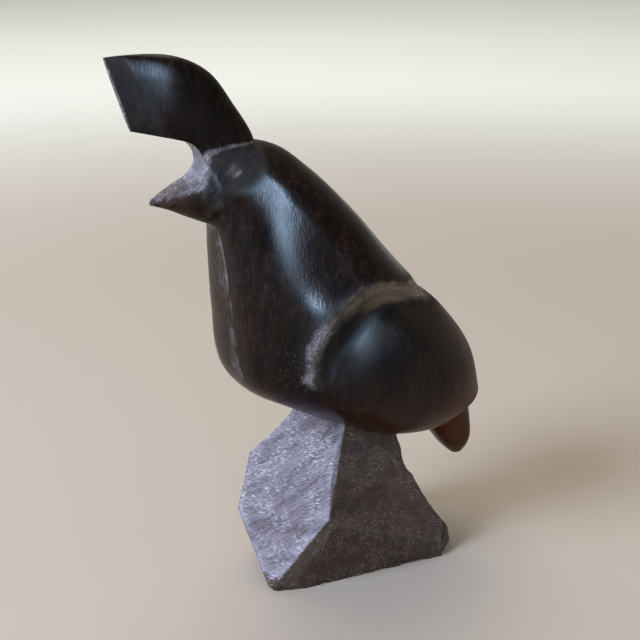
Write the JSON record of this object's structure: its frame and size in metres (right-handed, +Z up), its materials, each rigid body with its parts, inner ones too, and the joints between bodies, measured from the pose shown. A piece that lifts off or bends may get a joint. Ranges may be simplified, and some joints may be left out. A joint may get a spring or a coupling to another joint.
{
  "type": "wooden quail carving",
  "caption": "Stylised crested quail carved from one block of dark wood, smooth and polished, standing on a rough faceted rock base of the same block.",
  "frame": {"origin": "on the flat underside of the rock, in the bird's middle plane and below its breastbone", "axes": "+Z up, the bird faces -Y, its left side is +X, and x = 0 is its middle plane"},
  "size_m": [0.0638, 0.1253, 0.168],
  "materials": {
    "desert_ironwood": "polished on the bird, left from the rasp on the rock, the groove beside the wing, the forehead and the top of the beak"
  },
  "bodies": {
    "root": {"quail_carving": "desert_ironwood"}
  },
  "joints": []
}
